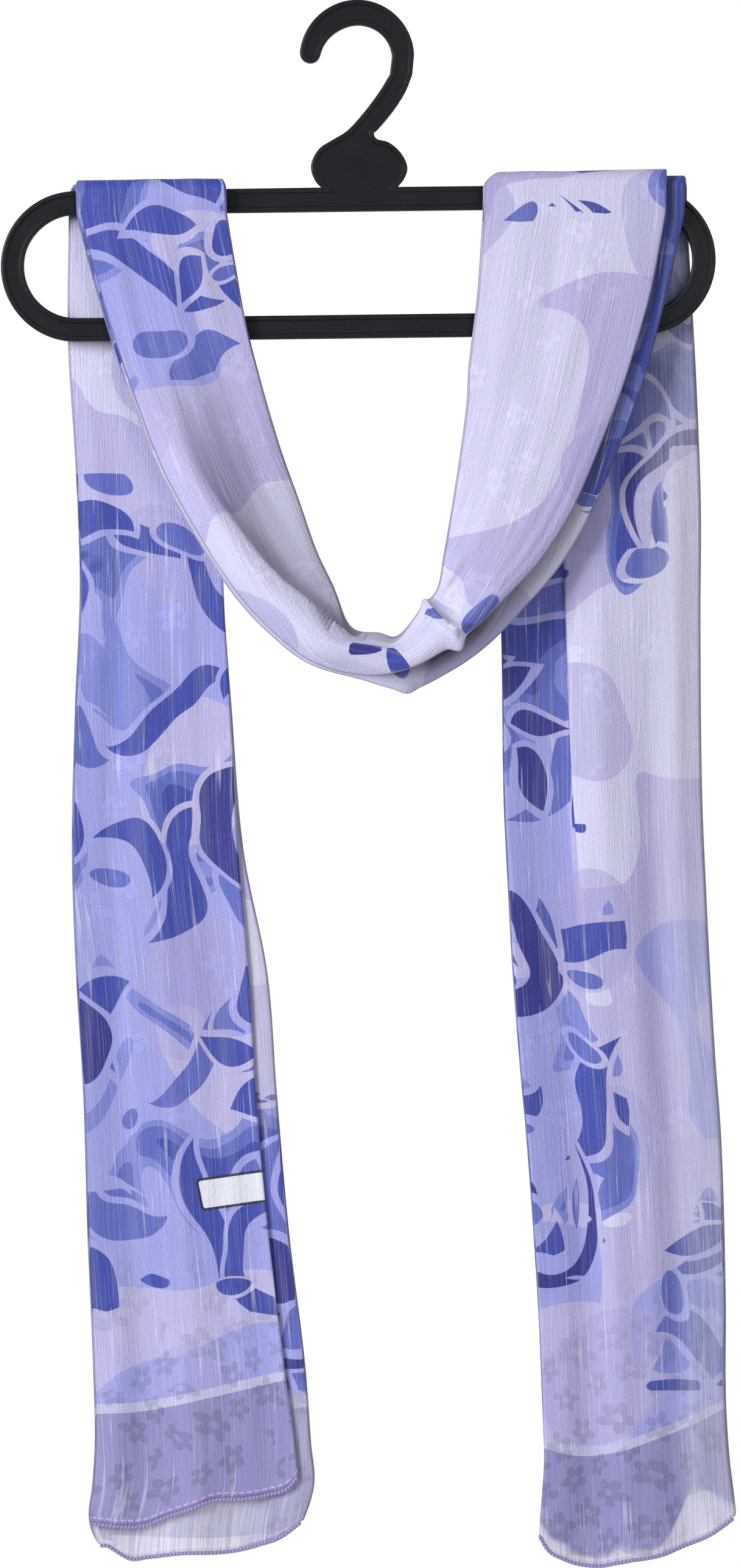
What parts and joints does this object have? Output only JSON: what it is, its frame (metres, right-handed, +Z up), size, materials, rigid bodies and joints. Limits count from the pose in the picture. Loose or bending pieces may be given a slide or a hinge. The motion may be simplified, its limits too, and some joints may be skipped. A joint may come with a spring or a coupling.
{
  "type": "scarf on a hanger",
  "caption": "Long sheer jacquard scarf folded lengthwise and hung over a flat plastic loop hanger, with a deep loop in front and both tails behind.",
  "frame": {"origin": "seat of the hanger's hook, on the underside of its crown, where a rail or nail carries it", "axes": "+Z up, +X to the right as seen from the front, -Y towards the viewer, who sees the scarf's loop in front of the hanger"},
  "size_m": [0.3321, 0.0311, 0.7097],
  "materials": {
    "hanger_plastic": "satin moulded plastic, blue-black, with a fine eggshell skin",
    "scarf_cloth": "semi-sheer crinkled viscose jacquard, printed in blues and lilacs, soft satin sheen",
    "hem_thread": "narrow rolled and overlocked hem in lilac thread"
  },
  "bodies": {
    "root": {"hanger": "hanger_plastic", "left_tail": "scarf_cloth", "left_shoulder": "scarf_cloth", "left_limb": "scarf_cloth", "loop_bottom": "scarf_cloth", "right_limb": "scarf_cloth", "right_shoulder": "scarf_cloth", "right_tail": "scarf_cloth", "left_front_hem": "hem_thread", "left_under_hem": "hem_thread", "right_hem": "hem_thread"}
  },
  "joints": []
}
